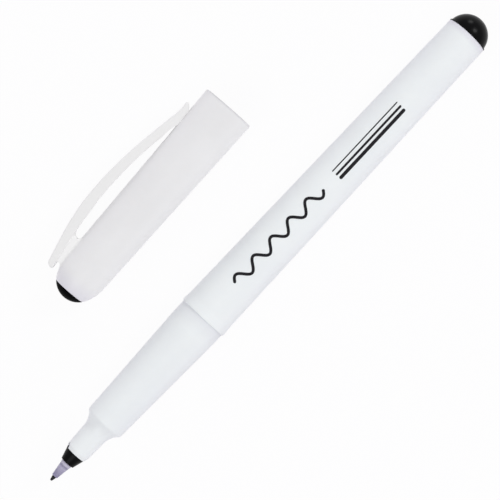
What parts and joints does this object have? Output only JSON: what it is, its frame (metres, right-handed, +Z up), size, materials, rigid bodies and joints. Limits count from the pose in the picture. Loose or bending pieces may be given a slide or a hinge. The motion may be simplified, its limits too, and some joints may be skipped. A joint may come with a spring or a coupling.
{
  "type": "fineliner pen",
  "caption": "Slim capped fineliner: tapered barrel with stepped grip, fine fibre point in a black nose, domed plugs, and a pull-off cap with a sprung pocket clip lying beside it.",
  "frame": {"origin": "on the floor, under the middle of the box round pen and cap", "axes": "+X along the pen from its writing point to its rear plug, +Y from the pen towards the cap, +Z up"},
  "size_m": [0.1334, 0.0412, 0.012],
  "materials": {
    "white_moulding": "satin moulded polypropylene",
    "black_moulding": "polished moulded polypropylene",
    "stained_sleeve": "translucent moulded plastic, stained by ink",
    "nib_fibre": "ink-wet capillary rod",
    "ink_fibre": "polyester fibre soaked with ink",
    "clear_film": "thin clear film",
    "seal_moulding": "soft moulded polyethylene"
  },
  "bodies": {
    "pen": {"barrel": "white_moulding", "nib_holder": "black_moulding", "nib_sleeve": "stained_sleeve", "nib": "nib_fibre", "ink_core": "ink_fibre", "core_wrap": "clear_film", "rear_plug": "black_moulding"},
    "cap": {"cap_shell": "white_moulding", "cap_plug": "black_moulding", "inner_cap": "seal_moulding"},
    "clip": {"pocket_clip": "white_moulding"}
  },
  "joints": [
    {"name": "cap_slide", "type": "slide", "parent": "pen", "child": "cap", "axis": [-1, 0, 0], "range_m": [0, 0.0833]},
    {"name": "clip_flex", "type": "hinge", "parent": "cap", "child": "clip", "pos_m": [-0.02426, 0.01817, 0.00536], "axis": [-0.0158, -0.0005, 0.9999], "range_deg": [0, 4], "stiffness_Nm_per_rad": 1.5}
  ]
}
